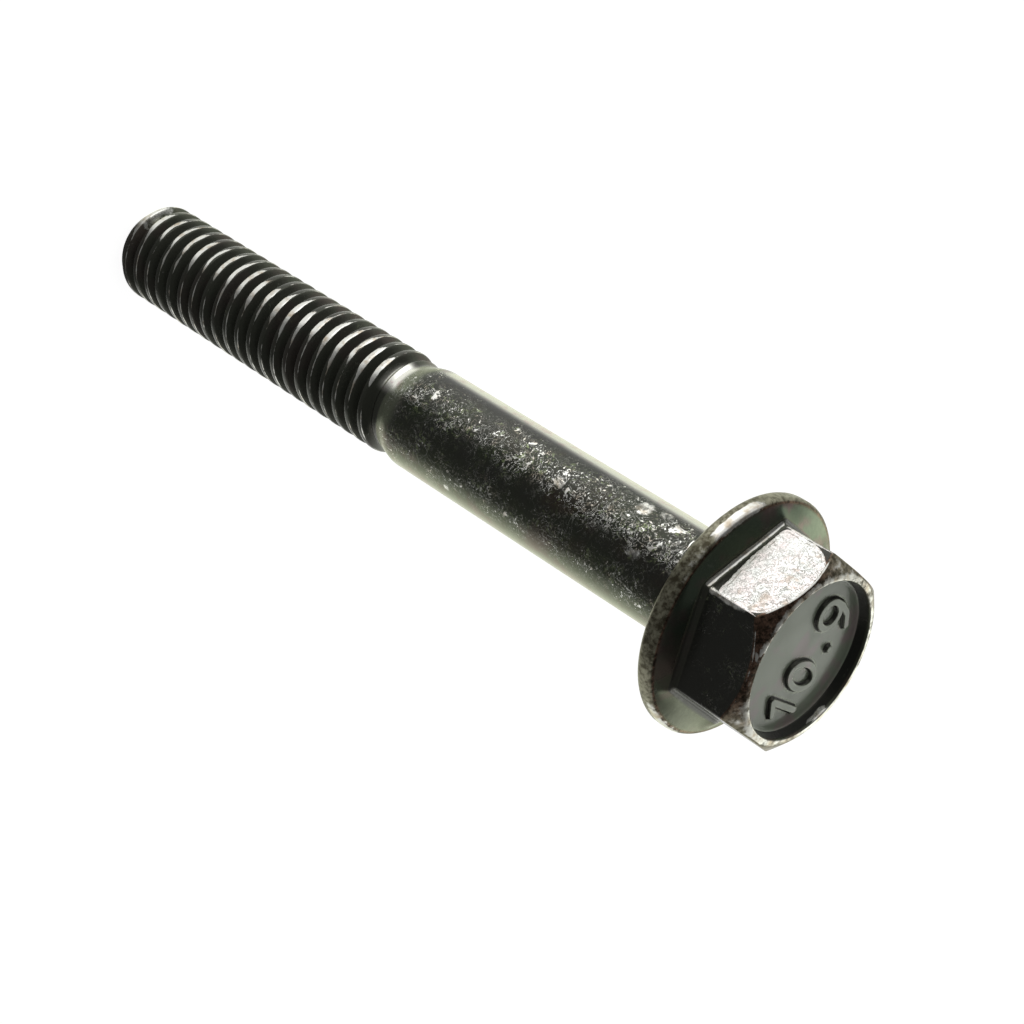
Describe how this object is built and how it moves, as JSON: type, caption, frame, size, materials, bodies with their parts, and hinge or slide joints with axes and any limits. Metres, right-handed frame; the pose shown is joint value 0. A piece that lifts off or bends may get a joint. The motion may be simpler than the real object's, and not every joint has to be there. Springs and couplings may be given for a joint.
{
  "type": "flange bolt",
  "caption": "Hexagon flange bolt standing on its threaded end, with a plain shank, a thread on its lower half, a chamfered crown and a shallow round dish in the head.",
  "frame": {"origin": "centre of the flat end of the bolt, which it stands on", "axes": "+Z along the bolt's axis, from the thread end to the head; -Y and +Y square to two of the hexagon's flats"},
  "size_m": [0.022, 0.022, 0.0892],
  "materials": {
    "blackened_steel": "black oxide, oiled, semi-gloss, with bright specks where the coat is worn"
  },
  "bodies": {
    "root": {"flange_bolt": "blackened_steel"}
  },
  "joints": []
}
